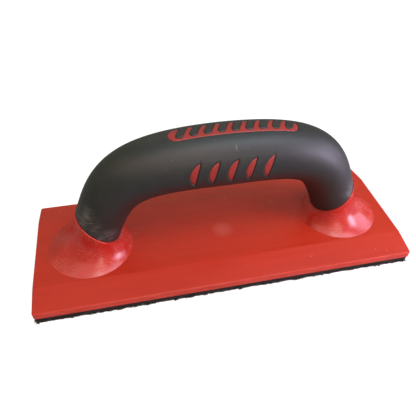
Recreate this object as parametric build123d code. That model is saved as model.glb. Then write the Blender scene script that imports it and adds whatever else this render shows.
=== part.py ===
from build123d import *
import math
import os

# Hand sanding block: a rigid plate with a bridge handle on top and a hook-faced pad below.
# Frame: X runs along the block, Y across it, Z up; z = 0 is the working face of the hooks,
# and the origin is the centre of that face.  All lengths are millimetres, angles degrees.

# --- layers below the plate, from the working face up ---
HOOK_SHEET_THICKNESS = 1.5
HOOK_ADHESIVE_THICKNESS = 0.2
FOAM_THICKNESS = 2.6
PAD_ADHESIVE_THICKNESS = 0.3
PAD_LENGTH = 230.0
PAD_WIDTH = 85.0
PAD_CORNER_RADIUS = 1.0

# --- plate ---
PLATE_LENGTH = 231.0
PLATE_WIDTH = 86.0
PLATE_FLAT_WIDTH = 53.4
PLATE_EDGE_HEIGHT = 4.1
PLATE_HEIGHT = 7.0
PLATE_CORNER_RADIUS = 1.6
PLATE_EDGE_ROUND = 0.8
CREASE_ROUND = 3.0

# --- handle line: a cubic curve in the XZ plane, mirrored about X = 0 ---
NECK_X = 74.6
NECK_HEIGHT = 25.8
LEG_TILT = 21.5
LEG_REACH = 35.2
CREST_HEIGHT = 66.2
CREST_REACH = 54.3

# --- grip: round sections along the line, thickest at the crest, with a bell at each end ---
CREST_RADIUS = 17.8
WAIST_RADIUS = 13.4
NECK_RADIUS = 15.2
SWELL_POWER = 1.74
BELL_POWER = 11.5
RING_TILT = 40.2
RING_TILT_POWER = 8.0
SLEEVE_THICKNESS = 2.0
SLEEVE_END_ROUND = 0.6
HALF_STATIONS = 12

# --- trumpet feet of the handle ---
FOOT_X = 82.0
FOOT_RADIUS = 25.9
FOOT_LIP = 0.5
FOOT_LIP_ROUND = 0.3
FOOT_STATIONS = 9
FOOT_TILT_POWER = 1.25
FOOT_FLARE_POWER = 3.4
SPIGOT_RADIUS = 6.9
SPIGOT_DEPTH = 2.2
SOCKET_RADIUS = 7.0
SOCKET_DEPTH = 2.5

# --- finger marks and crest panel: windows in the sleeve, filled by lands of the core ---
LAND_DEPTH = 0.25
MARK_COUNT = 5
MARK_PITCH = 10.2
MARK_CENTRE_X = 2.0
MARK_CENTRE_HEIGHT = 66.2
MARK_TOP = (2.9, 7.4)
MARK_BOTTOM = (-0.3, -6.8)
MARK_BULGE = (-3.2, -0.5)
MARK_INNER = (1.1, 1.2)
PANEL_CENTRE_X = 6.0
PANEL_LENGTH = 73.0
PANEL_WIDTH = 10.4
PANEL_END_RADIUS = 5.1
RIB_COUNT = 9
RIB_PITCH = 7.6
RIB_WIDTH = 4.2
RIB_LENGTH = 12.0
RIB_SLANT = 25.0
RAIL_WIDTH = 1.5

# --- self-tapping pan-head screws, driven up from below the plate ---
SCREW_X = 80.0
SCREW_Y = 10.0
SCREW_RADIUS = 2.1
SCREW_LENGTH = 16.0
SCREW_TIP_LENGTH = 2.4
SCREW_TIP_RADIUS = 0.4
HEAD_RADIUS = 4.0
HEAD_HEIGHT = 3.1
HEAD_ROUND = 1.2
SHANK_CLEARANCE = 0.3
COUNTERBORE_RADIUS = 4.4
COUNTERBORE_DEPTH = 3.4
RECESS_WIDTH = 1.0
RECESS_SPAN = 4.4
RECESS_DEPTH = 1.8

# --- cutters run this far past the surface that they open ---
CUT_OVERRUN = 1.0
LEVEL_TOLERANCE = 0.01

# --- levels worked out from the sizes above ---
HOOK_ADHESIVE_BASE = HOOK_SHEET_THICKNESS
FOAM_BASE = HOOK_ADHESIVE_BASE + HOOK_ADHESIVE_THICKNESS
PAD_ADHESIVE_BASE = FOAM_BASE + FOAM_THICKNESS
PLATE_BASE = PAD_ADHESIVE_BASE + PAD_ADHESIVE_THICKNESS
PLATE_TOP = PLATE_BASE + PLATE_HEIGHT
SCREW_SEAT = PLATE_BASE + COUNTERBORE_DEPTH
SIDES = (-1, 1)


def neck_point():
    return Vector(NECK_X, 0, PLATE_BASE + NECK_HEIGHT)


def leaning(tilt):
    """Unit vector that leans in from the vertical by this angle, towards the crest."""
    angle = math.radians(tilt)
    return Vector(-math.sin(angle), 0, math.cos(angle))


def half_line():
    """Centre line of the handle, from the right neck to the crest."""
    crest = Vector(0, 0, PLATE_BASE + CREST_HEIGHT)
    shoulder = neck_point() + leaning(LEG_TILT) * LEG_REACH
    return Bezier(neck_point(), shoulder, crest + Vector(CREST_REACH, 0, 0), crest)


def grip_radius(share):
    """Outer radius of the grip at a share of the way from the neck to the crest."""
    swell = (CREST_RADIUS - WAIST_RADIUS) * (1 - share) ** SWELL_POWER
    bell = (NECK_RADIUS - WAIST_RADIUS) * (1 - share) ** BELL_POWER
    return CREST_RADIUS - swell + bell


def section_tilt(travel, share):
    """Tilt of a grip section: square to the line, but turning to the ring's tilt at the neck."""
    square = math.degrees(math.atan2(-travel.X, travel.Z))
    return square + (RING_TILT - LEG_TILT) * (1 - share) ** RING_TILT_POWER


def handle_tube(inset):
    """The bridge of the handle between its necks, inset from the outer surface."""
    line = half_line()
    right = []
    left = []
    for i in range(HALF_STATIONS):
        share = i / HALF_STATIONS
        centre = line.position_at(share)
        normal = leaning(section_tilt(line.tangent_at(share), share))
        disc = Circle(grip_radius(share) - inset)
        mirrored_centre = (-centre.X, 0, centre.Z)
        mirrored_normal = (normal.X, 0, -normal.Z)
        right.append(Plane(centre, x_dir=(0, 1, 0), z_dir=normal) * disc)
        left.append(Plane(mirrored_centre, x_dir=(0, 1, 0), z_dir=mirrored_normal) * disc)
    crest = Plane(line.position_at(1), x_dir=(0, 1, 0), z_dir=(-1, 0, 0)) * Circle(CREST_RADIUS - inset)
    return loft(right + [crest] + left[::-1])


def foot():
    """Right-hand trumpet foot, from its round base on the plate up to the lip at the neck."""
    lip_radius = NECK_RADIUS + FOOT_LIP
    sections = []
    for i in range(FOOT_STATIONS + 1):
        share = i / FOOT_STATIONS
        flare = (1 - share) ** FOOT_FLARE_POWER
        x = NECK_X + (FOOT_X - NECK_X) * flare
        z = PLATE_TOP + (neck_point().Z - PLATE_TOP) * share
        normal = leaning(RING_TILT * share ** FOOT_TILT_POWER)
        radius = lip_radius + (FOOT_RADIUS - lip_radius) * flare
        sections.append(Plane((x, 0, z), x_dir=(0, 1, 0), z_dir=normal) * Circle(radius))
    trumpet = loft(sections)
    lip = trumpet.faces().filter_by(GeomType.PLANE).sort_by(Axis.Z)[-1]
    return fillet(lip.edges(), FOOT_LIP_ROUND)


def spigot():
    """Round boss under the right foot that locates it in the plate."""
    base = Pos(FOOT_X, 0, PLATE_TOP - SPIGOT_DEPTH)
    return base * extrude(Circle(SPIGOT_RADIUS), SPIGOT_DEPTH + CUT_OVERRUN)


def finger_marks():
    """Row of crescent prisms through the front wall of the sleeve."""
    top, bottom = MARK_TOP, MARK_BOTTOM
    outline = ThreePointArc(bottom, MARK_BULGE, top) + ThreePointArc(top, MARK_INNER, bottom)
    crescent = make_face(outline)
    marks = []
    for i in range(MARK_COUNT):
        x = MARK_CENTRE_X + (i - (MARK_COUNT - 1) / 2) * MARK_PITCH
        centre = (x, -CREST_RADIUS / 2, PLATE_BASE + MARK_CENTRE_HEIGHT)
        place = Plane(centre, x_dir=(1, 0, 0), z_dir=(0, -1, 0))
        marks.append(place * extrude(crescent, CREST_RADIUS))
    return marks


def crest_panel():
    """Prism of the crest panel: a long rounded field with slanted ribs reaching in from behind."""
    field = RectangleRounded(PANEL_LENGTH, PANEL_WIDTH, PANEL_END_RADIUS)
    rib = Pos(RIB_LENGTH / 2, 0) * SlotCenterToCenter(RIB_LENGTH, RIB_WIDTH)
    rib_start = RAIL_WIDTH + RIB_WIDTH / 2 - PANEL_WIDTH / 2
    for i in range(RIB_COUNT):
        x = (i - (RIB_COUNT - 1) / 2) * RIB_PITCH
        field -= Pos(x, rib_start) * Rot(0, 0, 90 - RIB_SLANT) * rib
    base = Pos(PANEL_CENTRE_X, 0, PLATE_BASE + CREST_HEIGHT)
    return base * extrude(field, CREST_RADIUS + CUT_OVERRUN)


def windows():
    """Everything cut through the sleeve, as one list of prisms."""
    front = finger_marks()
    back = [mark.mirror(Plane.XZ) for mark in front]
    return front + back + [crest_panel()]


def screw_axes():
    return [(side_x * SCREW_X, side_y * SCREW_Y) for side_x in SIDES for side_y in SIDES]


def screw_shape():
    """One screw, standing on its head with the seat at z = 0."""
    head = extrude(Circle(HEAD_RADIUS), -HEAD_HEIGHT)
    head = fillet(head.edges().group_by(Axis.Z)[0], HEAD_ROUND)
    shank_length = SCREW_LENGTH - SCREW_TIP_LENGTH
    shank = extrude(Circle(SCREW_RADIUS), shank_length)
    tip_base = Pos(0, 0, shank_length) * Circle(SCREW_RADIUS)
    tip_end = Pos(0, 0, SCREW_LENGTH) * Circle(SCREW_TIP_RADIUS)
    tip = loft([tip_base, tip_end])
    cross = Rectangle(RECESS_SPAN, RECESS_WIDTH) + Rectangle(RECESS_WIDTH, RECESS_SPAN)
    recess = Pos(0, 0, -HEAD_HEIGHT) * extrude(cross, RECESS_DEPTH)
    return head + shank + tip - recess


def pad_layer(base, thickness):
    """One sheet of the pad, cut to the pad's outline."""
    outline = RectangleRounded(PAD_LENGTH, PAD_WIDTH, PAD_CORNER_RADIUS)
    return Pos(0, 0, base) * extrude(outline, thickness)


def round_hole(x, y, base, radius, depth):
    """Cutter for a round hole that runs up from its base."""
    return Pos(x, y, base) * extrude(Circle(radius), depth)


def base_plate():
    half_width = PLATE_WIDTH / 2
    half_flat = PLATE_FLAT_WIDTH / 2
    edge_top = PLATE_BASE + PLATE_EDGE_HEIGHT
    outline = Polyline(
        (-half_width, PLATE_BASE), (half_width, PLATE_BASE), (half_width, edge_top),
        (half_flat, PLATE_TOP), (-half_flat, PLATE_TOP), (-half_width, edge_top), close=True,
    )
    plate = extrude(Plane.YZ * make_face(outline), PLATE_LENGTH / 2, both=True)
    plate = fillet(plate.edges().filter_by(Axis.Z), PLATE_CORNER_RADIUS)
    creases = plate.edges().filter_by(Axis.X).group_by(Axis.Z)[-1]
    plate = fillet(creases, CREASE_ROUND)
    rim = [edge for edge in plate.edges() if is_rim(edge)]
    plate = fillet(rim, PLATE_EDGE_ROUND)
    for side in SIDES:
        socket_base = PLATE_TOP - SOCKET_DEPTH
        plate -= round_hole(side * FOOT_X, 0, socket_base, SOCKET_RADIUS, SOCKET_DEPTH + CUT_OVERRUN)
    for x, y in screw_axes():
        bore_base = PLATE_BASE - CUT_OVERRUN
        plate -= round_hole(x, y, bore_base, COUNTERBORE_RADIUS, COUNTERBORE_DEPTH + CUT_OVERRUN)
        plate -= round_hole(x, y, PLATE_BASE, SCREW_RADIUS + SHANK_CLEARANCE, PLATE_HEIGHT + CUT_OVERRUN)
    return plate


def is_rim(edge):
    """True for the edges round the top of the plate's sides and ends."""
    centre = edge.center()
    above_base = centre.Z > PLATE_BASE + PLATE_EDGE_HEIGHT - LEVEL_TOLERANCE
    near_end = abs(centre.X) > PLATE_LENGTH / 2 - PLATE_CORNER_RADIUS
    near_side = abs(centre.Y) > PLATE_WIDTH / 2 - PLATE_CORNER_RADIUS
    return above_base and (near_end or near_side)


def handle_core(openings):
    """Rigid core of the handle: the inner bridge, both feet and the lands in the windows."""
    core = handle_tube(SLEEVE_THICKNESS) + foot() + foot().mirror(Plane.YZ)
    core = core + spigot() + spigot().mirror(Plane.YZ)
    land_tube = handle_tube(LAND_DEPTH)
    for prism in openings:
        core += prism & land_tube
    for x, y in screw_axes():
        core -= round_hole(x, y, SCREW_SEAT, SCREW_RADIUS, SCREW_LENGTH)
    return core


def grip_sleeve(openings):
    """Soft sleeve moulded over the bridge, from neck to neck."""
    outside = handle_tube(0)
    rims = outside.faces().filter_by(GeomType.PLANE).edges()
    sleeve = fillet(rims, SLEEVE_END_ROUND) - handle_tube(SLEEVE_THICKNESS)
    for prism in openings:
        sleeve -= prism
    return sleeve


def build_parts():
    openings = windows()
    parts = {
        "hook_sheet": pad_layer(0, HOOK_SHEET_THICKNESS),
        "hook_adhesive": pad_layer(HOOK_ADHESIVE_BASE, HOOK_ADHESIVE_THICKNESS),
        "foam_pad": pad_layer(FOAM_BASE, FOAM_THICKNESS),
        "pad_adhesive": pad_layer(PAD_ADHESIVE_BASE, PAD_ADHESIVE_THICKNESS),
        "base_plate": base_plate(),
        "handle_core": handle_core(openings),
        "grip_sleeve": grip_sleeve(openings),
    }
    for number, (x, y) in enumerate(screw_axes(), start=1):
        parts[f"handle_screw_{number}"] = Pos(x, y, SCREW_SEAT) * screw_shape()
    return parts


os.makedirs("parts", exist_ok=True)
for name, shape in build_parts().items():
    export_step(shape, os.path.join("parts", name + ".step"))
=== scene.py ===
import math

import bpy
import numpy as np
from mathutils import Matrix, Vector


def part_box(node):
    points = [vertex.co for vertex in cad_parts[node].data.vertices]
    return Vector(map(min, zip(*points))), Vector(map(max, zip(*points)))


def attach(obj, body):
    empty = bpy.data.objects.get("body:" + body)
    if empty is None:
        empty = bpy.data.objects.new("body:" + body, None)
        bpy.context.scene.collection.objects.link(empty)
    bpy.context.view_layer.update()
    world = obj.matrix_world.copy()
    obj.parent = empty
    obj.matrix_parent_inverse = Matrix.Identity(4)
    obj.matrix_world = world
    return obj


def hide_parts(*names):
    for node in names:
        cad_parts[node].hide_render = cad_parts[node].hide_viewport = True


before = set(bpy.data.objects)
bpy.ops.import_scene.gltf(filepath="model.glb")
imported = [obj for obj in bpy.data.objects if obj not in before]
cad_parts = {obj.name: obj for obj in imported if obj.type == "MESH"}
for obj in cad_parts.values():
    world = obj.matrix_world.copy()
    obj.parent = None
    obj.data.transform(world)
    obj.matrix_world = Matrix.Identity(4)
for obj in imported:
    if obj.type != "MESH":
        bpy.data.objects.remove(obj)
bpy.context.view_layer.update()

# Lengths in this script are millimetres in the frame of the part, and become metres in the meshes.
MM = 0.001
BODY = "root"
SHARP_ANGLE = 50
SEED = 7
RANDOM = np.random.default_rng(SEED)


def box_mm(node):
    """Lowest and highest corner of a CAD node's box."""
    low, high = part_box(node)
    return np.array(low) / MM, np.array(high) / MM


plate_low, plate_high = box_mm("base_plate")
foam_low, foam_high = box_mm("foam_pad")
hook_low, hook_high = box_mm("hook_sheet")
sleeve_high = box_mm("grip_sleeve")[1]
core_high = box_mm("handle_core")[1]
PLATE_BASE, PLATE_TOP = plate_low[2], plate_high[2]
PLATE_EDGE_HEIGHT, NECK_HEIGHT = 4.1, 25.8
RIM_Z = PLATE_BASE + PLATE_EDGE_HEIGHT

# --- handle line: a cubic curve in the XZ plane, mirrored about X = 0 ---
CREST_RADIUS = sleeve_high[1]
CREST_Z = sleeve_high[2] - CREST_RADIUS
NECK_X, NECK_Z = 74.6, PLATE_BASE + NECK_HEIGHT
LEG_TILT, LEG_REACH, CREST_REACH = 21.5, 35.2, 54.3
LINE_POINTS = 801
WAIST_RADIUS, NECK_RADIUS = 13.4, 15.2
SWELL_POWER, BELL_POWER = 1.74, 11.5
RING_TILT, RING_TILT_POWER = 40.2, 8.0
SLEEVE_THICKNESS, SLEEVE_END_ROUND = 2.0, 0.6

# --- feet ---
FOOT_RADIUS = core_high[1]
FOOT_X = core_high[0] - FOOT_RADIUS
FOOT_LIP, FOOT_LIP_ROUND = 0.5, 0.3
FOOT_TILT_POWER, FOOT_FLARE_POWER = 1.25, 3.4
FOOT_STATIONS, LIP_TURNS = 33, (0, 30, 60, 90)
SPIGOT_RADIUS, SPIGOT_DEPTH = 6.9, 2.2

# --- windows in the sleeve: finger marks and crest panel ---
LAND_DEPTH, LAND_GAP = 0.25, 0.08
WINDOW_ROUND = 0.4
MARK_COUNT, MARK_PITCH, MARK_X = 5, 10.2, 2.0
MARK_TOP, MARK_BOTTOM = (2.9, 7.4), (-0.3, -6.8)
MARK_BULGE, MARK_INNER = (-3.2, -0.5), (1.1, 1.2)
PANEL_X, PANEL_LENGTH, PANEL_WIDTH, PANEL_END_RADIUS = 6.0, 73.0, 10.4, 5.1
RIB_COUNT, RIB_PITCH, RIB_WIDTH, RIB_LENGTH, RIB_SLANT, RAIL_WIDTH = 9, 7.6, 4.2, 12.0, 25.0, 1.5
# The panel lies within the first turn from the crest line, and the marks between it and the second.
PANEL_TURN, MARK_TURN = 40, 140
FAR = 9.0

# --- pad: layers, hooks under the tape, fibres round its edge ---
PAD_CORNER_RADIUS, LAYER_STEP, CORNER_POINTS = 1.0, 0.5, 3
SWAY_SPACING, RIPPLE_SPACING = 12, 4
FOAM_ROWS = ((0, 0.15), (0.06, 0), (0.25, 0.05), (0.5, 0), (0.75, 0.08), (0.94, 0), (1, 0.15))
TAPE_ROWS = ((0, 0.1), (0.3, 0), (0.7, 0.05), (1, 0))
FOAM_WOBBLE, TAPE_WOBBLE, TAPE_SHARE = 0.12, 0.25, 0.45
TAPE_BASE = hook_low[2] + (hook_high[2] - hook_low[2]) * TAPE_SHARE
THREAD_SIDE = (0.36, 0.93, 0.08)
HOOK_PITCH, HOOK_MARGIN, HOOK_RADIUS, HOOK_SIDES = 2.1, 0.35, 0.17, 4
HOOK_CROOK, HOOK_ROOT, HOOK_JITTER, HOOK_TWIST = 0.32, 0.2, 0.1, 0.35
HOOK_STEM, HOOK_TURNS, HOOK_SPLAY = 0.6, (0, 60, 120, 190), (0.1, 0.5)
EDGE_ROWS, EDGE_PITCH, EDGE_HOOK_RADIUS = (-0.1, 0.35), 0.55, 0.24
TUFT_COUNT, TUFT_FIBRES, TUFT_SIZE = 210, 10, (0.4, 1.0)
FIBRE_RADIUS, FIBRE_SIDES, FIBRE_POINTS = 0.17, 3, 5
FIBRE_REACH, FIBRE_ROOT, FIBRE_SLIDE, FIBRE_LEAN = (0.3, 1.2), 0.6, 0.3, 0.5
FIBRE_LOW, FIBRE_HIGH_SHARE, FIBRE_DROP, FIBRE_FLOOR = 0.3, 0.9, (0.1, 0.9), 0.15

SCREW_COUNT = 4

# --- colours, as linear red, green and blue, or with alpha where a socket takes it whole ---
RED_DEEP, RED_PALE, RED_BLOOM = (0.335, 0.015, 0.003), (0.385, 0.022, 0.006), (0.60, 0.20, 0.17)
# The lands' colour below is painted shade: a darker red, as if the lands in the sleeve's windows lay in
# shade.
LAND_SHADE_RED = (0.21, 0.013, 0.009)
# The colour below is painted light: a paler red laid on the plate's side faces below the rim, as if more
# light fell there.
RED_SIDE_LIGHT = (0.62, 0.075, 0.055)
FOOT_DEEP, FOOT_PALE = (0.34, 0.014, 0.008), (0.40, 0.020, 0.012)
RUBBER_DEEP, RUBBER_PALE, RUBBER_WORN = (0.0095, 0.0110, 0.0105), (0.0135, 0.0150, 0.0140), (0.16, 0.15, 0.14)
GRIP_TINT = (0.93, 1.0, 1.0, 1.0)
FOAM_PORE, FOAM_SKIN, FOAM_DUSTY = (0.005, 0.004, 0.004), (0.016, 0.014, 0.013), (0.05, 0.044, 0.040)
NYLON_DEEP, NYLON_PALE = (0.004, 0.0035, 0.003), (0.012, 0.010, 0.009)
FILM_AMBER, FILM_LINT = (0.028, 0.021, 0.016), (0.015, 0.013, 0.012)
STEEL_DEEP, STEEL_PALE = (0.50, 0.50, 0.51), (0.68, 0.68, 0.69)
DUST = (0.72, 0.62, 0.56)
PAPER_DEEP, PAPER_PALE, WHITE = (0.28, 0.28, 0.28), (0.31, 0.31, 0.31), (1, 1, 1, 1)

# --- finishes: roughness where the texture is low and where it is high, and specular level ---
PLATE_ROUGH, PLATE_SPECULAR = (0.36, 0.47), 0.36
HANDLE_ROUGH, HANDLE_SPECULAR = (0.20, 0.27), 0.55
GRIP_ROUGH, GRIP_SPECULAR = (0.44, 0.52), 0.52
FOAM_ROUGH, FOAM_SPECULAR = (0.95, 0.8), 0.3
NYLON_ROUGH, NYLON_SPECULAR = (0.5, 0.65), 0.4
FILM_ROUGH, STEEL_ROUGH, PAPER_ROUGH = (0.3, 0.7), (0.28, 0.42), 0.9

# --- the stretch of a noise's values that carries it from one look to the other ---
NARROW, WIDE = (0.35, 0.65), (0.3, 0.7)

# --- marks of the moulding on the plate ---
GATE, CRATER, CRATER_REACH = (1.9, -2.6, PLATE_TOP), (-45.9, 7.7, PLATE_TOP), (0.9, 0.9, 0.9)

# --- heights where the lands' painted shade takes over from the feet, and the sides' painted light from the plate ---
LAND_START, LAND_FULL = NECK_Z + 12, NECK_Z + 16
SIDE_LIGHT_START, SIDE_LIGHT_FULL = RIM_Z + 0.2, RIM_Z - 0.7

# --- rubbed marks on the grip: x, y, height above the plate's base, reach along each axis ---
GRIP_MARKS = (
    (3.9, -12.0, 78.5, (0.5, 2.4, 2.4)),
    (34.5, -5.2, 79.8, (0.6, 1.4, 1.0)),
    (-39.6, 0.5, 79.4, (0.4, 4.2, 1.5)),
    (-31.0, -10.2, 77.8, (2.2, 0.4, 0.5)),
    (-26.0, -10.6, 78.2, (1.6, 0.4, 0.5)),
)

# --- scuffed patches on the grip, above both rings: x, y, height above the plate's base, reach ---
GRIP_SCUFFS = (
    (-79.0, -9.0, 37.0, (11, 9, 13)),
    (-70.0, -13.0, 27.0, (8, 8, 7)),
    (80.0, -11.0, 36.0, (9, 9, 9)),
    (84.0, 2.0, 38.0, (8, 14, 9)),
    (-78.0, 9.0, 38.0, (11, 9, 12)),
)

# --- mesh of the handle: fine round the windows, whose outlines draw nearby points onto themselves ---
FINE_STEP, COARSE_STEP, COARSE_ANGLE = 0.45, 2.4, 5.0
FINE_RUNS, FINE_ANGLES, BACK_ANGLE = (-34, 47), (-118, -62, -20, 20, 62, 118), 242
END_SHARES = (0.1, 0.3, 0.6, 1.0)
OUTLINE_PULL, ROUNDING_PULL, PULL_PASSES = 0.5, 0.28, 2
NUDGE, LEAST_SQUARE, PLAIN_END = 0.02, 0.25, 20


# ------------------------------------------------------------------ handle line
def cubic(points, t):
    """Rows of x and z along a cubic curve with these four control points."""
    a, b, c, d = (np.array(p)[:, None] for p in points)
    return (1 - t) ** 3 * a + 3 * (1 - t) ** 2 * t * b + 3 * (1 - t) * t ** 2 * c + t ** 3 * d


def handle_line():
    """The right half of the handle's centre line, as rows of x and z from neck to crest."""
    lean = math.radians(LEG_TILT)
    elbow = (NECK_X - LEG_REACH * math.sin(lean), NECK_Z + LEG_REACH * math.cos(lean))
    points = [(NECK_X, NECK_Z), elbow, (CREST_REACH, CREST_Z), (0, CREST_Z)]
    return cubic(points, np.linspace(0, 1, LINE_POINTS))


LINE = handle_line()
ARC = np.concatenate([[0], np.cumsum(np.hypot(*np.diff(LINE, axis=1)))])
HALF_RUN = ARC[-1]
TILT = np.degrees(np.arctan2(-np.gradient(LINE[0]), np.gradient(LINE[1])))


def grip_radius(share):
    """Outer radius of the grip at a share of the way from neck to crest."""
    swell = (CREST_RADIUS - WAIST_RADIUS) * (1 - share) ** SWELL_POWER
    bell = (NECK_RADIUS - WAIST_RADIUS) * (1 - share) ** BELL_POWER
    return CREST_RADIUS - swell + bell


def on_grip(run, angle, inset):
    """Points on the handle. Run is the way along from the crest; angle 0 is its outer side, 90 its front."""
    share = 1 - np.abs(run) / HALF_RUN
    along = share * HALF_RUN
    side = np.sign(run)
    x = side * np.interp(along, ARC, LINE[0])
    z = np.interp(along, ARC, LINE[1])
    tilt = np.radians(np.interp(along, ARC, TILT) + (RING_TILT - LEG_TILT) * (1 - share) ** RING_TILT_POWER)
    radius = grip_radius(share) - inset
    turn = np.radians(angle)
    out = radius * np.cos(turn)
    return np.stack([x + side * out * np.cos(tilt), -radius * np.sin(turn), z + out * np.sin(tilt)], -1)


# ------------------------------------------------------------------ outlines of the windows
def circle_through(p, q, r):
    """Centre and radius of the circle through three points."""
    (ax, ay), (bx, by), (cx, cy) = p, q, r
    d = 2 * (ax * (by - cy) + bx * (cy - ay) + cx * (ay - by))
    a2, b2, c2 = ax * ax + ay * ay, bx * bx + by * by, cx * cx + cy * cy
    x = (a2 * (by - cy) + b2 * (cy - ay) + c2 * (ay - by)) / d
    y = (a2 * (cx - bx) + b2 * (ax - cx) + c2 * (bx - ax)) / d
    return x, y, math.hypot(ax - x, ay - y)


BULGE = circle_through(MARK_BOTTOM, MARK_BULGE, MARK_TOP)
INNER = circle_through(MARK_BOTTOM, MARK_INNER, MARK_TOP)


def mark_distance(x, z):
    """Signed distance to the nearest finger mark's outline, negative inside it."""
    index = np.clip(np.round((x - MARK_X) / MARK_PITCH), -(MARK_COUNT // 2), MARK_COUNT // 2)
    u = x - MARK_X - index * MARK_PITCH
    v = z - CREST_Z
    outside_bulge = np.hypot(u - BULGE[0], v - BULGE[1]) - BULGE[2]
    inside_inner = INNER[2] - np.hypot(u - INNER[0], v - INNER[1])
    return np.maximum(outside_bulge, inside_inner)


def panel_distance(x, y):
    """Signed distance to the outline of the crest panel, less its ribs."""
    u = np.abs(x - PANEL_X) - PANEL_LENGTH / 2 + PANEL_END_RADIUS
    v = np.abs(y) - PANEL_WIDTH / 2 + PANEL_END_RADIUS
    field = np.hypot(np.maximum(u, 0), np.maximum(v, 0)) + np.minimum(np.maximum(u, v), 0) - PANEL_END_RADIUS
    slant = math.radians(RIB_SLANT)
    start = RAIL_WIDTH + RIB_WIDTH / 2 - PANEL_WIDTH / 2
    for i in range(RIB_COUNT):
        du = x - PANEL_X - (i - (RIB_COUNT - 1) / 2) * RIB_PITCH
        dv = y - start
        along = np.clip(du * math.sin(slant) + dv * math.cos(slant), 0, RIB_LENGTH)
        rib = np.hypot(du - along * math.sin(slant), dv - along * math.cos(slant)) - RIB_WIDTH / 2
        field = np.maximum(field, -rib)
    return field


def window_distance(run, angle):
    """Signed distance to the nearest window's outline, negative inside it."""
    p = on_grip(run, angle, 0)
    turn = np.abs(angle)
    top = np.where(turn < PANEL_TURN, panel_distance(p[..., 0], p[..., 1]), FAR)
    on_side = (turn > PANEL_TURN) & (turn < MARK_TURN)
    side = np.where(on_side, mark_distance(p[..., 0], p[..., 2]), FAR)
    return np.minimum(top, side)


# ------------------------------------------------------------------ grid over the handle
def spaced(stops, steps):
    """Rising values from the first stop to the last, at each stretch's own step."""
    parts = []
    for a, b, step in zip(stops, stops[1:], steps):
        parts.append(np.linspace(a, b, max(2, round((b - a) / step) + 1))[:-1])
    return np.concatenate(parts + [[stops[-1]]])


def plain_grid():
    """Runs and angles of a grid over the whole handle, before its points are drawn onto outlines."""
    runs = spaced([-HALF_RUN, *FINE_RUNS, HALF_RUN], [COARSE_STEP, FINE_STEP, COARSE_STEP])
    rounds = SLEEVE_END_ROUND * np.array(END_SHARES)
    runs = np.unique(np.concatenate([runs, -HALF_RUN + rounds, HALF_RUN - rounds]))
    fine = math.degrees(FINE_STEP / CREST_RADIUS)
    angles = spaced([*FINE_ANGLES, BACK_ANGLE], [fine, COARSE_ANGLE] * 3)[:-1]
    angles = (angles + 180) % 360 - 180
    return np.meshgrid(runs, angles, indexing="ij")


def draw_onto(run, angle, target, pull, kept):
    """Draws the points near this distance from the windows onto it, apart from the kept ones."""
    per_degree = math.radians(1) * CREST_RADIUS
    for _ in range(PULL_PASSES):
        d = window_distance(run, angle) - target
        slope_run = (window_distance(run + NUDGE, angle) - target - d) / NUDGE
        slope_turn = (window_distance(run, angle + NUDGE / per_degree) - target - d) / NUDGE
        square = np.maximum(slope_run ** 2 + slope_turn ** 2, LEAST_SQUARE)
        drawn = (np.abs(d) < pull * FINE_STEP) & (np.abs(run) < HALF_RUN - PLAIN_END) & ~kept
        run = np.where(drawn, run - d * slope_run / square, run)
        angle = np.where(drawn, angle - d * slope_turn / square / per_degree, angle)
    return run, angle, drawn


def handle_grid(level):
    """Runs, angles and distances of a grid that follows the outlines at this distance from the windows."""
    run, angle = plain_grid()
    nothing = np.zeros(run.shape, bool)
    run, angle, on_outline = draw_onto(run, angle, level, OUTLINE_PULL, nothing)
    run, angle, _ = draw_onto(run, angle, level + WINDOW_ROUND, ROUNDING_PULL, on_outline)
    distance = np.where(on_outline, 0.0, window_distance(run, angle) - level)
    return run, angle, distance


def grid_faces(distance):
    """Faces of a grid that is closed round its second axis, as (inside a window, outside the windows)."""
    rows, columns = distance.shape
    inside, outside = [], []
    for i in range(rows - 1):
        for j in range(columns):
            k = (j + 1) % columns
            corners = [(i, j), (i, k), (i + 1, k), (i + 1, j)]
            values = [distance[c] for c in corners]
            index = [c[0] * columns + c[1] for c in corners]
            if min(values) < 0 < max(values):
                if values[0] == 0 == values[2]:
                    cuts = ((0, 1, 2), (0, 2, 3))
                else:
                    cuts = ((0, 1, 3), (1, 2, 3))
            else:
                cuts = ((0, 1, 2, 3),)
            for cut in cuts:
                middle = sum(values[c] for c in cut)
                (inside if middle < 0 else outside).append(tuple(index[c] for c in cut))
    return inside, outside


def border(faces):
    """Directed edges that only one of these faces has."""
    edges = set()
    for face in faces:
        for a, b in zip(face, face[1:] + face[:1]):
            if (b, a) in edges:
                edges.remove((b, a))
            else:
                edges.add((a, b))
    return sorted(edges)


# ------------------------------------------------------------------ making pieces
def make_piece(name, points, faces, material, slot, *replaced):
    """A smooth-shaded mesh piece that rides on the body. Points are in millimetres."""
    mesh = bpy.data.meshes.new(name)
    used = sorted({i for face in faces for i in face})
    place = {old: new for new, old in enumerate(used)}
    corners = (np.asarray(points)[used] * MM).tolist()
    mesh.from_pydata(corners, [], [[place[i] for i in face] for face in faces])
    mesh.validate()
    mesh.shade_smooth()
    mesh.set_sharp_from_angle(angle=math.radians(SHARP_ANGLE))
    mesh.materials.append(material)
    piece = bpy.data.objects.new(name, mesh)
    bpy.context.scene.collection.objects.link(piece)
    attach(piece, BODY)
    if replaced:
        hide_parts(*replaced)
    return piece


def quarter_round(distance, radius):
    """How far a rounded edge has dropped at this distance in from it."""
    share = np.clip(1 - distance / radius, 0, 1)
    return radius * (1 - np.sqrt(1 - share ** 2))


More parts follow.
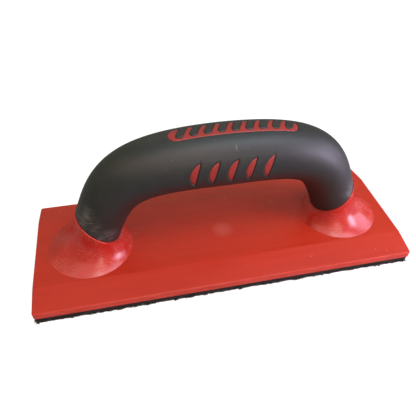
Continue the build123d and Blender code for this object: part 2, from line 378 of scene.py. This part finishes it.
def make_sleeve(material):
    """The sleeve's skin and lining, with rounded rims round its windows and ends."""
    run, angle, distance = handle_grid(0.0)
    drop = quarter_round(np.maximum(distance, 0), WINDOW_ROUND)
    drop = np.maximum(drop, quarter_round(HALF_RUN - np.abs(run), SLEEVE_END_ROUND))
    outer = on_grip(run, angle, drop).reshape(-1, 3)
    inner = on_grip(run, angle, SLEEVE_THICKNESS).reshape(-1, 3)
    count = len(outer)
    _, skin = grid_faces(distance)
    walls = [(b, a, a + count, b + count) for a, b in border(skin)]
    lining = [tuple(i + count for i in reversed(face)) for face in skin]
    points = np.concatenate([outer, inner])
    return make_piece("grip_cover", points, skin + lining + walls, material, "grip_black", "grip_sleeve")


def foot_rows():
    """Rows of (x, z, tilt, radius) up the right foot, from the end of its spigot to its lip."""
    neck_radius = NECK_RADIUS + FOOT_LIP
    rows = [(FOOT_X, PLATE_TOP - SPIGOT_DEPTH, 0, SPIGOT_RADIUS), (FOOT_X, PLATE_TOP, 0, SPIGOT_RADIUS)]
    for share in np.linspace(0, 1, FOOT_STATIONS):
        flare = (1 - share) ** FOOT_FLARE_POWER
        radius = neck_radius + (FOOT_RADIUS - neck_radius) * flare
        x = NECK_X + (FOOT_X - NECK_X) * flare
        z = PLATE_TOP + (NECK_Z - PLATE_TOP) * share
        rows.append((x, z, RING_TILT * share ** FOOT_TILT_POWER, radius))
    lip_x, lip_z = rows.pop()[:2]
    lean = math.radians(RING_TILT)
    for turn in np.radians(LIP_TURNS):
        back = FOOT_LIP_ROUND * (1 - math.sin(turn))
        radius = neck_radius - FOOT_LIP_ROUND * (1 - math.cos(turn))
        rows.append((lip_x + back * math.sin(lean), lip_z - back * math.cos(lean), RING_TILT, radius))
    return rows


def foot_points(rows, angle, side):
    """Points round each row of the left (-1) or right (1) foot."""
    points = []
    turn = np.radians(angle)
    for x, z, tilt, radius in rows:
        lean = math.radians(tilt)
        out = radius * np.cos(turn)
        across = side * (x + out * math.cos(lean))
        points.append(np.stack([across, -radius * np.sin(turn), z + out * math.sin(lean)], -1))
    return np.array(points)


def make_core(material):
    """Feet and bridge in one skin, with lands that rise into the sleeve's windows."""
    run, angle, distance = handle_grid(-LAND_GAP)
    rows = foot_rows()
    plain = angle[0]
    left = foot_points(rows, plain, -1)
    right = foot_points(rows, plain, 1)[::-1]
    clear = np.full((len(rows), len(plain)), FAR)
    inside, outside = grid_faces(np.concatenate([clear, distance, clear]))
    drop = quarter_round(np.maximum(-distance, 0), WINDOW_ROUND / 2)
    tube = np.concatenate([left, on_grip(run, angle, SLEEVE_THICKNESS), right])
    land = np.concatenate([left, on_grip(run, angle, LAND_DEPTH + drop), right])
    foot_z = rows[0][1]
    ends = [(-FOOT_X, 0, foot_z), (FOOT_X, 0, foot_z)]
    points = np.concatenate([tube.reshape(-1, 3), land.reshape(-1, 3), ends])
    columns = len(plain)
    total = len(tube) * columns
    last = total - columns
    faces = outside + [tuple(i + total for i in face) for face in inside]
    faces += [(a, b, b + total, a + total) for a, b in border(inside)]
    faces += [(j, 2 * total, (j + 1) % columns) for j in range(columns)]
    faces += [(last + j, last + (j + 1) % columns, 2 * total + 1) for j in range(columns)]
    return make_piece("handle_body", points, faces, material, "handle_red", "handle_core")


# ------------------------------------------------------------------ pad
def rounded_outline(half_x, half_y, radius, step):
    """Points round a rectangle with rounded corners, each with its outward direction, as rows x, y, u, v."""
    half_x, half_y = half_x - radius, half_y - radius
    rows = []
    for k in range(4):
        turn = math.radians(90 * k)
        cx = half_x * (1 if k in (0, 3) else -1)
        cy = half_y * (1 if k in (0, 1) else -1)
        bends = max(CORNER_POINTS, round(radius * math.pi / 2 / step) + 1)
        for bend in np.linspace(0, math.pi / 2, bends):
            u, v = math.cos(turn + bend), math.sin(turn + bend)
            rows.append((cx + radius * u, cy + radius * v, u, v))
        run = 2 * (half_x if k in (0, 2) else half_y)
        count = round(run / step)
        x, y, u, v = rows[-1]
        for i in range(1, count):
            rows.append((x - v * run * i / count, y + u * run * i / count, u, v))
    return np.array(rows)


def smooth_line(count, knots):
    """A closed random line of this many values, smooth between about this many knots, from -1 to 1."""
    waves = np.zeros(count, complex)
    waves[1 : knots + 1] = RANDOM.normal(size=knots) + 1j * RANDOM.normal(size=knots)
    line = np.fft.ifft(waves).real
    return line / np.abs(line).max()


def make_layer(name, base, high, rows, wobble, material, slot, *replaced):
    """A flat layer from a base height up. Each row of its side wall is (height share, inset), and wobbles."""
    outline = rounded_outline(high[0], high[1], PAD_CORNER_RADIUS, LAYER_STEP)
    count = len(outline)
    shared = smooth_line(count, round(count / SWAY_SPACING))
    levels = []
    for share, inset in rows:
        ripple = smooth_line(count, round(count / RIPPLE_SPACING))
        shift = wobble * (shared + ripple) / 2 - wobble - inset
        flat = outline[:, :2] + outline[:, 2:] * shift[:, None]
        height = base + (high[2] - base) * share
        levels.append(np.column_stack([flat, np.full(count, height)]))
    faces = [tuple(range(count))[::-1], tuple(range((len(rows) - 1) * count, len(rows) * count))]
    for r in range(len(rows) - 1):
        for j in range(count):
            k = (j + 1) % count
            faces.append((r * count + j, r * count + k, (r + 1) * count + k, (r + 1) * count + j))
    return make_piece(name, np.concatenate(levels), faces, material, slot, *replaced)


def thread(path, radius, sides):
    """Points and faces of a closed thin tube along a path."""
    path = np.asarray(path, float)
    tangent = np.gradient(path, axis=0)
    tangent /= np.linalg.norm(tangent, axis=1)[:, None]
    across = np.cross(tangent, THREAD_SIDE)
    across /= np.linalg.norm(across, axis=1)[:, None]
    other = np.cross(tangent, across)
    turns = np.arange(sides) * 2 * math.pi / sides
    ring = np.cos(turns)[None, :, None] * across[:, None] + np.sin(turns)[None, :, None] * other[:, None]
    points = (path[:, None] + radius * ring).reshape(-1, 3)
    faces = [tuple(range(sides))[::-1], tuple(range(len(points) - sides, len(points)))]
    for i in range(len(path) - 1):
        for j in range(sides):
            k = (j + 1) % sides
            faces.append((i * sides + j, i * sides + k, (i + 1) * sides + k, (i + 1) * sides + j))
    return points, faces


def make_threads(name, paths, radius, sides, material, slot):
    """One piece that holds a thread along each path."""
    points, faces, start = [], [], 0
    for path in paths:
        more_points, more_faces = thread(path, radius, sides)
        points.append(more_points)
        faces += [tuple(i + start for i in face) for face in more_faces]
        start += len(more_points)
    return make_piece(name, np.concatenate(points), faces, material, slot)


def hook_path(x, y, top, heading, splay):
    """A nylon hook that hangs from the tape: a straight stem, and a crook that turns back up."""
    along = np.array([math.cos(heading), math.sin(heading), 0])
    crook_height = HOOK_RADIUS + HOOK_CROOK
    path = [(x, y, top + HOOK_ROOT), (x, y, top * (1 - HOOK_STEM) + crook_height * HOOK_STEM)]
    for turn in np.radians(HOOK_TURNS):
        swing = HOOK_CROOK * (1 - math.cos(turn)) * along
        path.append(np.array([x, y, crook_height - HOOK_CROOK * math.sin(turn)]) + swing)
    path = np.array(path)
    path[:, :2] += np.array(splay) * (1 - path[:, 2:] / top).clip(0)
    return path


def make_hooks(material):
    """The field of hooks under the tape, in slightly uneven rows."""
    half = np.array(hook_high[:2]) - HOOK_MARGIN - HOOK_PITCH / 2
    count = np.round(2 * half / HOOK_PITCH).astype(int) + 1
    paths = []
    for x in np.linspace(-half[0], half[0], count[0]):
        for row, y in enumerate(np.linspace(-half[1], half[1], count[1])):
            shift = RANDOM.normal(0, HOOK_JITTER, 2)
            heading = math.pi * (row % 2) + RANDOM.normal(0, HOOK_TWIST)
            splay = RANDOM.normal(0, HOOK_JITTER, 2)
            paths.append(hook_path(x + shift[0], y + shift[1], TAPE_BASE, heading, splay))
    return make_threads("hook_field", paths, HOOK_RADIUS, HOOK_SIDES, material, "hook_nylon")


def make_edge_hooks(material):
    """Close rows of hooks round the edge of the tape, splayed outwards."""
    paths = []
    for margin in EDGE_ROWS:
        half = np.array(hook_high[:2]) - HOOK_MARGIN - margin
        for x, y, u, v in rounded_outline(half[0], half[1], PAD_CORNER_RADIUS, EDGE_PITCH):
            heading = math.atan2(v, u) + math.pi / 2 + RANDOM.normal(0, HOOK_TWIST)
            splay = np.array([u, v]) * RANDOM.uniform(*HOOK_SPLAY)
            paths.append(hook_path(x, y, TAPE_BASE, heading, splay))
    return make_threads("edge_hooks", paths, EDGE_HOOK_RADIUS, HOOK_SIDES, material, "hook_nylon")


def fibre_path(x, y, u, v, size):
    """A fibre of a tuft of this size, rooted near a place on the tape's outline and curving down and out."""
    slide = RANDOM.normal(0, FIBRE_SLIDE)
    lean = RANDOM.normal(0, FIBRE_LEAN)
    out = size * RANDOM.uniform(*FIBRE_REACH)
    height = RANDOM.uniform(FIBRE_LOW, hook_high[2] * FIBRE_HIGH_SHARE)
    drop = min(height - FIBRE_FLOOR, RANDOM.uniform(*FIBRE_DROP))
    steps = np.linspace(0, 1, FIBRE_POINTS)[:, None]
    start = np.array([x - v * slide - u * FIBRE_ROOT, y + u * slide - v * FIBRE_ROOT, height])
    push = np.array([u - v * lean, v + u * lean, 0]) * (out + FIBRE_ROOT)
    return start + push * steps + np.array([0, 0, -drop]) * steps ** 2


def make_fibres(material):
    """Loose fibres that stick out round the cut edge of the tape, clumped into tufts."""
    outline = rounded_outline(hook_high[0], hook_high[1], PAD_CORNER_RADIUS, LAYER_STEP)
    paths = []
    for _ in range(TUFT_COUNT):
        place = outline[RANDOM.integers(len(outline))]
        size = RANDOM.uniform(*TUFT_SIZE)
        paths += [fibre_path(*place, size) for _ in range(TUFT_FIBRES)]
    return make_threads("edge_fibres", paths, FIBRE_RADIUS, FIBRE_SIDES, material, "hook_nylon")


# ------------------------------------------------------------------ materials
class Paint:
    """A node material while it is being made. Feature sizes and places are given in millimetres."""

    MIX_A, MIX_B, MIX_RESULT = 6, 7, 2
    SPECK_CORE = 0.6
    SCRATCH_BAND, BREAK_BAND = 0.05, (0.48, 0.62)

    def __init__(self, name):
        self.material = bpy.data.materials.new(name)
        self.material.use_nodes = True
        self.tree = self.material.node_tree
        self.shader = self.tree.nodes["Principled BSDF"]
        self.place = self.node("ShaderNodeTexCoord").outputs["Object"]

    def node(self, kind, inputs=(), **settings):
        node = self.tree.nodes.new(kind)
        for key, value in settings.items():
            setattr(node, key, value)
        for key, value in inputs:
            self.feed(node.inputs[key], value)
        return node

    def feed(self, socket, value):
        if isinstance(value, bpy.types.NodeSocket):
            self.tree.links.new(value, socket)
        else:
            socket.default_value = value

    def set(self, **values):
        """Puts colours, numbers or other nodes' results on the shader's own sockets."""
        for key, value in values.items():
            self.feed(self.shader.inputs[key.replace("_", " ").title().replace("Ior", "IOR")], value)

    def noise(self, size, detail=3.0, roughness=0.55, stretch=(1, 1, 1), turn=(0, 0, 0)):
        """Noise from 0 to 1 with features of about this size, times stretch along each axis."""
        scale = [1 / (size * MM * s) for s in stretch]
        turns = [math.radians(t) for t in turn]
        mapping = [("Vector", self.place), ("Scale", scale), ("Rotation", turns)]
        spot = self.node("ShaderNodeMapping", mapping).outputs[0]
        inputs = [("Vector", spot), ("Scale", 1.0), ("Detail", detail), ("Roughness", roughness)]
        return self.node("ShaderNodeTexNoise", inputs).outputs[0]

    def range(self, value, low, high, start=0.0, end=1.0):
        """Maps low..high onto start..end, and clamps."""
        inputs = [("Value", value), ("From Min", low), ("From Max", high), ("To Min", start), ("To Max", end)]
        return self.node("ShaderNodeMapRange", inputs).outputs[0]

    def math(self, operation, a, b):
        return self.node("ShaderNodeMath", [(0, a), (1, b)], operation=operation).outputs[0]

    def times(self, a, b):
        return self.math("MULTIPLY", a, b)

    def plus(self, a, b):
        return self.math("ADD", a, b)

    def most(self, *values):
        """The largest of several results."""
        largest = values[0]
        for value in values[1:]:
            largest = self.math("MAXIMUM", largest, value)
        return largest

    def mix(self, share, a, b):
        node = self.node("ShaderNodeMix", [("Factor", share)], data_type="RGBA")
        for socket, value in ((node.inputs[self.MIX_A], a), (node.inputs[self.MIX_B], b)):
            self.feed(socket, value if isinstance(value, bpy.types.NodeSocket) else (*value, 1.0))
        return node.outputs[self.MIX_RESULT]

    def cover(self, colour, mask, tint, strength):
        """Lays a tint over a colour where a mask is high, at most at this strength."""
        return self.mix(self.times(mask, strength), colour, tint)

    def height(self):
        """Height above the working face, in metres."""
        return self.node("ShaderNodeSeparateXYZ", [("Vector", self.place)]).outputs["Z"]

    def blot(self, centre, size, edge):
        """1 at a place, falling from this share of an ellipsoid of this size round it to 0 at its surface."""
        middle = [c * MM for c in centre]
        scale = [1 / (s * MM) for s in size]
        offset = self.node("ShaderNodeVectorMath", [(0, self.place), (1, middle)], operation="SUBTRACT")
        spot = self.node("ShaderNodeVectorMath", [(0, offset.outputs[0]), (1, scale)], operation="MULTIPLY")
        length = self.node("ShaderNodeVectorMath", [(0, spot.outputs[0])], operation="LENGTH")
        return self.range(length.outputs["Value"], edge, 1.0, 1.0, 0.0)

    def pores(self, pitch):
        """Distance from the middle of the nearest cell of this pitch."""
        inputs = [("Vector", self.place), ("Scale", 1 / (pitch * MM))]
        return self.node("ShaderNodeTexVoronoi", inputs).outputs["Distance"]

    def specks(self, pitch, radius, share, turn):
        """Sparse dots: this share of the cells of a turned grid of this pitch holds one."""
        turns = [math.radians(t) for t in turn]
        spot = self.node("ShaderNodeMapping", [("Vector", self.place), ("Rotation", turns)]).outputs[0]
        cells = self.node("ShaderNodeTexVoronoi", [("Vector", spot), ("Scale", 1 / (pitch * MM))])
        reach = radius / pitch
        dot = self.range(cells.outputs["Distance"], reach * self.SPECK_CORE, reach, 1.0, 0.0)
        pick = self.node("ShaderNodeSeparateColor", [("Color", cells.outputs["Color"])]).outputs[0]
        return self.times(dot, self.math("LESS_THAN", pick, share))

    def scratches(self, width, length, turn, rarity):
        """Thin lines along one direction, broken up so that only some of them show."""
        lines = self.noise(width, detail=1, roughness=0.4, stretch=(length / width, 1, 1), turn=turn)
        breaks = self.noise(length / 2, detail=2, roughness=0.5)
        thin = self.range(lines, rarity, rarity + self.SCRATCH_BAND)
        return self.times(thin, self.range(breaks, *self.BREAK_BAND))

    def bump(self, *layers):
        """Surface relief from (height, depth in mm) layers."""
        normal = None
        for height, depth in layers:
            inputs = [("Height", height), ("Distance", depth * MM), ("Strength", 1.0)]
            if normal is not None:
                inputs.append(("Normal", normal))
            normal = self.node("ShaderNodeBump", inputs).outputs[0]
        self.feed(self.shader.inputs["Normal"], normal)


def plate_paint():
    """Satin moulded plastic: flow streaks, a gate mark, dust, hairline scratches, and painted light on the
    side faces below the rim.
    """
    paint = Paint("plate_red")
    cloud = paint.noise(size=45, detail=3, roughness=0.5, stretch=(2.2, 1, 1))
    streaks = paint.noise(size=3, detail=3, roughness=0.6, stretch=(14, 1, 1))
    tone = paint.plus(paint.times(cloud, 0.6), paint.times(streaks, 0.4))
    colour = paint.mix(paint.range(tone, low=0.36, high=0.64), RED_DEEP, RED_PALE)

    gate = paint.blot(GATE, size=(8, 8, 4), edge=0.3)
    outer = paint.blot(GATE, size=(9.5, 9.5, 6), edge=0.82)
    inner = paint.blot(GATE, size=(8, 8, 5), edge=0.82)
    ring = paint.math("SUBTRACT", outer, inner)
    hairs = paint.scratches(width=0.12, length=20, turn=(0, 0, 12), rarity=0.72)
    crossed = paint.scratches(width=0.12, length=16, turn=(0, 0, 118), rarity=0.73)
    wear = paint.most(hairs, crossed)
    coarse_dust = paint.specks(pitch=6, radius=0.32, share=0.22, turn=(10, 20, 30))
    fine_dust = paint.specks(pitch=2.2, radius=0.14, share=0.10, turn=(40, 5, 75))
    colour = paint.cover(colour, gate, RED_BLOOM, strength=0.16)
    colour = paint.cover(colour, wear, RED_BLOOM, strength=0.22)
    colour = paint.cover(colour, paint.most(coarse_dust, fine_dust), DUST, strength=0.55)

    # Painted light: the side faces below the rim get a paler red, broken up by a stretched noise.
    side = paint.range(paint.height(), SIDE_LIGHT_FULL * MM, SIDE_LIGHT_START * MM, 1.0, 0.0)
    side_light_breakup = paint.noise(size=1.2, detail=3, roughness=0.6, stretch=(8, 8, 1))
    rubbed_and_side_light = paint.range(side_light_breakup, low=0.35, high=0.60, start=0.2, end=0.6)
    colour = paint.cover(colour, side, RED_SIDE_LIGHT, strength=rubbed_and_side_light)

    blur = paint.range(paint.noise(size=9, detail=4, roughness=0.6), *WIDE, *PLATE_ROUGH)
    rough = paint.plus(blur, paint.times(ring, 0.05))
    paint.set(base_color=colour, roughness=rough, specular_ior_level=PLATE_SPECULAR)
    paint.bump(
        (paint.noise(size=26, detail=1, roughness=0.4), 0.22),
        (paint.noise(size=0.5, detail=2, roughness=0.6), 0.012),
        (ring, 0.03),
        (wear, -0.02),
        (paint.blot(CRATER, CRATER_REACH, edge=0.2), -0.25),
    )
    return paint.material


def handle_paint():
    """Glossier moulded plastic, brushed with fine scuffs that run round and along the feet, with painted
    shade darkening the lands.
    """
    paint = Paint("handle_red")
    cloud = paint.noise(size=16, detail=3, roughness=0.5)
    colour = paint.mix(paint.range(cloud, *NARROW), FOOT_DEEP, FOOT_PALE)

    level = paint.noise(size=0.35, detail=2, roughness=0.6, stretch=(16, 16, 1))
    brushed = paint.noise(size=0.4, detail=2, roughness=0.6, stretch=(14, 1, 14), turn=(0, 0, 6))
    patches = paint.range(paint.noise(size=11, detail=2, roughness=0.5), low=0.42, high=0.60)
    lines = paint.most(paint.range(level, low=0.50, high=0.68), paint.range(brushed, low=0.50, high=0.68))
    scuff = paint.times(lines, patches)
    dust = paint.specks(pitch=4, radius=0.22, share=0.2, turn=(15, 35, 5))
    colour = paint.cover(colour, scuff, RED_BLOOM, strength=0.16)
    colour = paint.cover(colour, dust, DUST, strength=0.5)

    # Painted shade: above these heights the lands in the sleeve's windows are darkened as if shaded, and made
    # rougher.
    land = paint.range(paint.height(), LAND_START * MM, LAND_FULL * MM)
    colour = paint.cover(colour, land, LAND_SHADE_RED, strength=0.85)
    rough = paint.plus(paint.range(cloud, *WIDE, *HANDLE_ROUGH), paint.times(scuff, 0.14))
    rough = paint.plus(rough, paint.times(land, 0.25))
    paint.set(base_color=colour, roughness=rough, specular_ior_level=HANDLE_SPECULAR)
    paint.bump(
        (paint.noise(size=7, detail=1, roughness=0.4), 0.05),
        (paint.noise(size=0.4, detail=2, roughness=0.6), 0.006),
        (scuff, 0.012),
    )
    return paint.material


def grip_paint():
    """Matt soft rubber: fine grain, grey scuffs at both ends, and a few rubbed marks on the crest."""
    paint = Paint("grip_black")
    cloud = paint.noise(size=20, detail=4, roughness=0.6)
    colour = paint.mix(paint.range(cloud, *NARROW), RUBBER_DEEP, RUBBER_PALE)

    rubbed_and_side_light = paint.most(*[paint.blot((x, y, PLATE_BASE + z), size, edge=0.2) for x, y, z, size in GRIP_MARKS])
    ends = paint.most(*[paint.blot((x, y, PLATE_BASE + z), size, edge=0.35) for x, y, z, size in GRIP_SCUFFS])
    level = paint.noise(size=0.5, detail=3, roughness=0.7, stretch=(16, 16, 1), turn=(0, 8, 0))
    broken = paint.range(paint.noise(size=6, detail=3, roughness=0.6), low=0.36, high=0.58)
    scuff = paint.times(paint.times(paint.range(level, low=0.44, high=0.60), broken), ends)
    hairs = paint.scratches(width=0.16, length=14, turn=(0, 0, 64), rarity=0.70)
    crossed = paint.scratches(width=0.16, length=18, turn=(0, 20, 8), rarity=0.71)
    handled = paint.times(paint.most(hairs, crossed), 0.35)
    wear = paint.most(scuff, handled, paint.times(rubbed_and_side_light, 0.7))
    dust = paint.specks(pitch=3.5, radius=0.18, share=0.22, turn=(25, 65, 45))
    colour = paint.cover(colour, wear, RUBBER_WORN, strength=0.8)
    colour = paint.cover(colour, dust, DUST, strength=0.35)

    rough = paint.range(cloud, *WIDE, *GRIP_ROUGH)
    paint.set(base_color=colour, roughness=rough, specular_ior_level=GRIP_SPECULAR, specular_tint=GRIP_TINT)
    paint.bump(
        (paint.noise(size=14, detail=2, roughness=0.5), 0.06),
        (paint.noise(size=0.45, detail=3, roughness=0.65), 0.02),
        (wear, 0.02),
    )
    return paint.material


def foam_paint():
    """Cut closed-cell foam: a matt dark skin with open pores, dusty in places."""
    paint = Paint("pad_foam")
    pores = paint.pores(pitch=0.45)
    dusty = paint.range(paint.noise(size=6, detail=3, roughness=0.6), low=0.4, high=0.7, end=0.5)
    colour = paint.mix(paint.range(pores, low=0.15, high=0.6), FOAM_PORE, FOAM_SKIN)
    colour = paint.mix(dusty, colour, FOAM_DUSTY)
    rough = paint.range(pores, 0.1, 0.6, *FOAM_ROUGH)
    paint.set(base_color=colour, roughness=rough, specular_ior_level=FOAM_SPECULAR)
    paint.bump((pores, 0.12), (paint.noise(size=0.2, detail=2, roughness=0.6), 0.03))
    return paint.material


def nylon_paint():
    """Black nylon tape and hooks, with a faint weave and some grey dust."""
    paint = Paint("hook_nylon")
    weave = paint.noise(size=0.3, detail=2, roughness=0.6, stretch=(3, 1, 1))
    dusty = paint.range(paint.noise(size=2.5, detail=3, roughness=0.6), low=0.6, high=0.75, end=0.35)
    colour = paint.mix(paint.range(weave, *NARROW), NYLON_DEEP, NYLON_PALE)
    colour = paint.mix(dusty, colour, FOAM_DUSTY)
    rough = paint.range(weave, *WIDE, *NYLON_ROUGH)
    paint.set(base_color=colour, roughness=rough, specular_ior_level=NYLON_SPECULAR)
    paint.bump((weave, 0.04))
    return paint.material


def film_paint():
    """Edge of a thin adhesive film, with lint stuck to it."""
    paint = Paint("adhesive_film")
    lint = paint.range(paint.noise(size=0.8, detail=3, roughness=0.6, stretch=(3, 3, 1)), low=0.45, high=0.65)
    colour = paint.mix(lint, FILM_AMBER, FILM_LINT)
    paint.set(base_color=colour, roughness=paint.range(lint, 0.0, 1.0, *FILM_ROUGH))
    paint.bump((lint, 0.03))
    return paint.material


def steel_paint():
    """Zinc-plated steel with fine turning marks."""
    paint = Paint("screw_steel")
    turned = paint.noise(size=0.25, detail=2, roughness=0.6, stretch=(6, 6, 1))
    colour = paint.mix(paint.range(turned, *NARROW), STEEL_DEEP, STEEL_PALE)
    paint.set(base_color=colour, metallic=1.0, roughness=paint.range(turned, *WIDE, *STEEL_ROUGH))
    paint.bump((turned, 0.02))
    return paint.material


def paper_paint():
    """Pale studio paper. It glows for the camera alone, so it looks white and still bounces little light."""
    paint = Paint("studio_paper")
    tone = paint.range(paint.noise(size=60, detail=3, roughness=0.5), *WIDE)
    seen = paint.node("ShaderNodeLightPath").outputs["Is Camera Ray"]
    colour = paint.mix(tone, PAPER_DEEP, PAPER_PALE)
    paint.set(base_color=colour, roughness=PAPER_ROUGH, specular_ior_level=0.0)
    paint.set(emission_color=WHITE, emission_strength=paint.times(seen, FLOOR_GLOW))
    return paint.material


def dress(node, material):
    """Gives a CAD object this material alone."""
    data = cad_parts[node].data
    data.materials.clear()
    data.materials.append(material)


plate_red, handle_red, grip_black = plate_paint(), handle_paint(), grip_paint()
pad_foam, hook_nylon, adhesive_film, screw_steel = foam_paint(), nylon_paint(), film_paint(), steel_paint()
dress("base_plate", plate_red)
dress("pad_adhesive", adhesive_film)
dress("hook_adhesive", adhesive_film)
for i in range(1, SCREW_COUNT + 1):
    dress(f"handle_screw_{i}", screw_steel)

make_sleeve(grip_black)
make_core(handle_red)
foam = make_layer(
    "foam_layer", foam_low[2], foam_high, FOAM_ROWS, FOAM_WOBBLE, pad_foam, "pad_foam", "foam_pad"
)
make_layer("hook_tape", TAPE_BASE, hook_high, TAPE_ROWS, TAPE_WOBBLE, hook_nylon, "hook_nylon", "hook_sheet")
make_hooks(hook_nylon)
make_edge_hooks(hook_nylon)
make_fibres(hook_nylon)

# ------------------------------------------------------------------ stage, light and camera
CAMERA_AZIMUTH, CAMERA_ELEVATION, CAMERA_ROLL = -0.2285, 0.7709, 0.0243
CAMERA_DISTANCE, CAMERA_TARGET, CAMERA_LENS = 0.302, (-1.7, 25.3, PLATE_BASE), 36.85

# Softboxes: name, azimuth and elevation in degrees, distance and size in metres, power in watts, colour
LIGHT_AIM = 0.04
LIGHTS = (
    ("key", 6, 31, 1.1, (0.24, 0.94), 3.9, (1.0, 0.72, 0.66)),
    ("lamp", 8, 68, 1.2, (0.35, 0.35), 3.2, (1.0, 0.81, 0.77)),
    ("sky_left", -38, 50, 1.4, (1.2, 0.9), 6.4, (1.0, 0.60, 0.53)),
    ("ceiling", 20, 86, 1.3, (1.2, 1.2), 2.8, (0.35, 0.90, 1.0)),
    ("back", 172, 40, 1.4, (1.5, 0.9), 2.4, (1.0, 0.75, 0.77)),
    ("window", 74, 16, 0.50, (0.42, 0.26), 1.6, (0.86, 0.72, 1.0)),
    ("window_near", 60, 9, 0.50, (0.14, 0.26), 1.2, (0.97, 0.76, 1.0)),
    ("window_high", 56, 56, 0.55, (0.25, 0.25), 1.2, (0.78, 0.80, 1.0)),
    ("left", -100, 44, 1.3, (1.0, 0.8), 1.7, (1.0, 0.75, 0.5)),
)
WORLD_STRENGTH, WORLD_COLOUR = 0.31, (1.0, 1.08, 0.80)
FLOOR_GLOW, FLOOR_HALF, FLOOR_DROP = 0.78, 2.0, 1e-5


def direction(azimuth, elevation):
    """Unit vector towards a place: azimuth 0 is the front, a quarter turn on is the right; radians."""
    level = math.cos(elevation)
    return Vector((math.sin(azimuth) * level, -math.cos(azimuth) * level, math.sin(elevation)))


def add_camera():
    azimuth, roll = CAMERA_AZIMUTH, CAMERA_ROLL
    back = direction(azimuth, CAMERA_ELEVATION)
    right = Vector((math.cos(azimuth), math.sin(azimuth), 0))
    up = back.cross(right)
    level_right = math.cos(roll) * right + math.sin(roll) * up
    level_up = math.cos(roll) * up - math.sin(roll) * right
    data = bpy.data.cameras.new("camera")
    data.lens = CAMERA_LENS
    camera = bpy.data.objects.new("camera", data)
    matrix = Matrix((level_right, level_up, back)).transposed().to_4x4()
    matrix.translation = Vector(CAMERA_TARGET) * MM + back * CAMERA_DISTANCE
    camera.matrix_world = matrix
    bpy.context.scene.collection.objects.link(camera)
    bpy.context.scene.camera = camera


def add_light(name, azimuth, elevation, distance, size, power, colour):
    """A softbox that faces the middle of the object."""
    data = bpy.data.lights.new(name, "AREA")
    data.shape = "RECTANGLE"
    data.size, data.size_y = size
    data.energy = power
    data.color = colour
    light = bpy.data.objects.new(name, data)
    back = direction(math.radians(azimuth), math.radians(elevation))
    light.location = Vector((0, 0, LIGHT_AIM)) + back * distance
    light.rotation_euler = back.to_track_quat("Z", "Y").to_euler()
    bpy.context.scene.collection.objects.link(light)


def add_world(strength, colour):
    """Even light from all round. The camera itself sees white, like the paper."""
    world = bpy.data.worlds.new("studio")
    world.use_nodes = True
    tree = world.node_tree
    lit = tree.nodes["Background"]
    lit.inputs["Color"].default_value = (*colour, 1)
    lit.inputs["Strength"].default_value = strength
    white = tree.nodes.new("ShaderNodeBackground")
    white.inputs["Color"].default_value = WHITE
    path = tree.nodes.new("ShaderNodeLightPath")
    either = tree.nodes.new("ShaderNodeMixShader")
    tree.links.new(path.outputs["Is Camera Ray"], either.inputs[0])
    tree.links.new(lit.outputs[0], either.inputs[1])
    tree.links.new(white.outputs[0], either.inputs[2])
    tree.links.new(either.outputs[0], tree.nodes["World Output"].inputs["Surface"])
    bpy.context.scene.world = world


def add_floor():
    corners = [(-1, -1), (1, -1), (1, 1), (-1, 1)]
    mesh = bpy.data.meshes.new("floor")
    mesh.from_pydata([(x * FLOOR_HALF, y * FLOOR_HALF, -FLOOR_DROP) for x, y in corners], [], [(0, 1, 2, 3)])
    mesh.materials.append(paper_paint())
    floor = bpy.data.objects.new("floor", mesh)
    bpy.context.scene.collection.objects.link(floor)


add_camera()
add_world(WORLD_STRENGTH, WORLD_COLOUR)
for light in LIGHTS:
    add_light(*light)
add_floor()
bpy.context.scene.view_settings.view_transform = "Standard"
